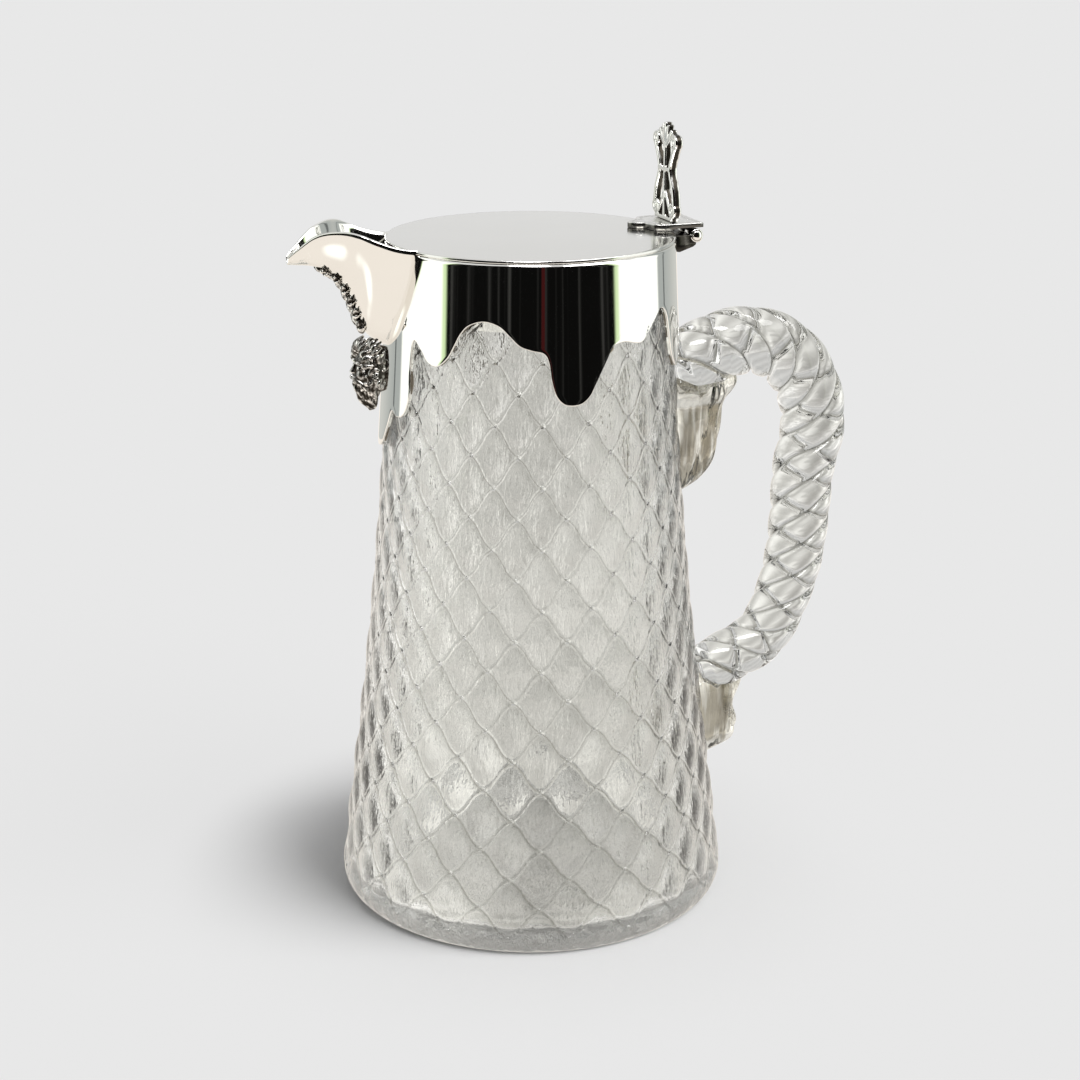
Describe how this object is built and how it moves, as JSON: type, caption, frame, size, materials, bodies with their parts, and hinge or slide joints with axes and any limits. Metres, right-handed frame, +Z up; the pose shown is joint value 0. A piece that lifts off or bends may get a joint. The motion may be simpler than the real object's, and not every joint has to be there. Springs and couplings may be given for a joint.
{
  "type": "claret jug",
  "caption": "Tapering quilted glass claret jug with rope-twist glass handle, silver collar with dripping edge, raised spout over a mask, and hinged flat lid with pierced thumbpiece.",
  "frame": {"origin": "centre of the foot ring, on the surface that the jug stands on", "axes": "+Z up the jug's axis, +X towards the handle and the hinge, -X towards the spout, the plane Y = 0 halves spout and handle"},
  "size_m": [0.1969, 0.1342, 0.2625],
  "materials": {
    "glass": "clear moulded glass",
    "silver": "polished silver",
    "cast_silver": "cast silver, darkened in the recesses",
    "plaster": "set plaster"
  },
  "bodies": {
    "jug": {"glass_body": "glass", "handle_rod": "glass", "handle_upper_tail": "glass", "handle_lower_tail": "glass", "plaster_bed": "plaster", "collar_band": "silver", "mouth_liner": "silver", "spout": "silver", "vine_drop": "cast_silver", "spout_mask": "cast_silver", "hinge_bracket": "silver", "collar_knuckles": "silver", "hinge_pin": "silver"},
    "lid": {"lid_plate": "silver", "lid_bezel": "silver", "lid_leaf": "silver", "lid_knuckle": "silver", "thumbpiece": "cast_silver"}
  },
  "joints": [
    {"name": "lid_hinge", "type": "hinge", "parent": "jug", "child": "lid", "pos_m": [0.0548, 0, 0.2253], "axis": [0, 1, 0], "range_deg": [0, 105]}
  ]
}
